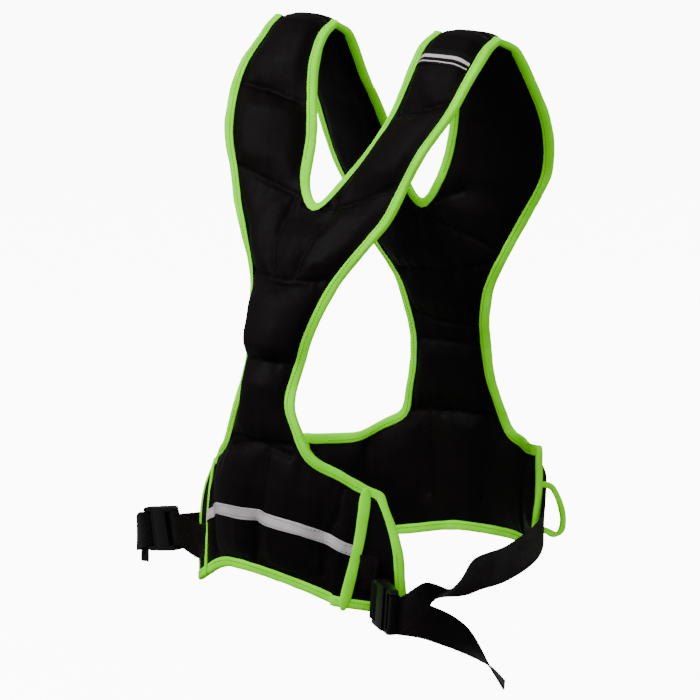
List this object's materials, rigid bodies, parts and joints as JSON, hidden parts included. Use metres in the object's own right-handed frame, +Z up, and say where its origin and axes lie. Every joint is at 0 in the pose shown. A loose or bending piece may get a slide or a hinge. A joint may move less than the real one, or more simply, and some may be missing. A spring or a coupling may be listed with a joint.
{
  "type": "weighted vest",
  "caption": "Quilted Y-front weighted vest with padded shoulder straps, folded edge bindings, a reflective belt strip and a webbing strap with a side release buckle on each side.",
  "frame": {"origin": "midway between the two places where the straps rest on the shoulders, on the straps' inner face at their crest", "axes": "+Z up along the worn vest, the wearer faces -Y, the wearer's left is +X"},
  "size_m": [0.4834, 0.3303, 0.6676],
  "materials": {
    "quilted_cloth": "matte black quilted cloth",
    "lime_binding": "lime green folded binding",
    "reflective": "silver grey reflective tape",
    "webbing": "brown-black woven webbing",
    "woven_label": "dark woven label with a light line",
    "buckle_plastic": "black satin acetal"
  },
  "bodies": {
    "root": {"front_panel": "quilted_cloth", "back_panel": "quilted_cloth", "front_hem_binding": "lime_binding", "back_hem_binding": "lime_binding", "arm_binding_left": "lime_binding", "arm_binding_right": "lime_binding", "neck_binding": "lime_binding", "reflective_strip": "reflective", "label_patch": "woven_label", "pocket_binding_left": "lime_binding", "pocket_binding_right": "lime_binding", "buckle_socket_left": "buckle_plastic", "buckle_plug_left": "buckle_plastic", "anchor_webbing_left": "webbing", "webbing_left": "webbing", "keeper_loop_left": "lime_binding", "buckle_socket_right": "buckle_plastic", "buckle_plug_right": "buckle_plastic", "anchor_webbing_right": "webbing", "webbing_right": "webbing", "keeper_loop_right": "lime_binding"}
  },
  "joints": []
}
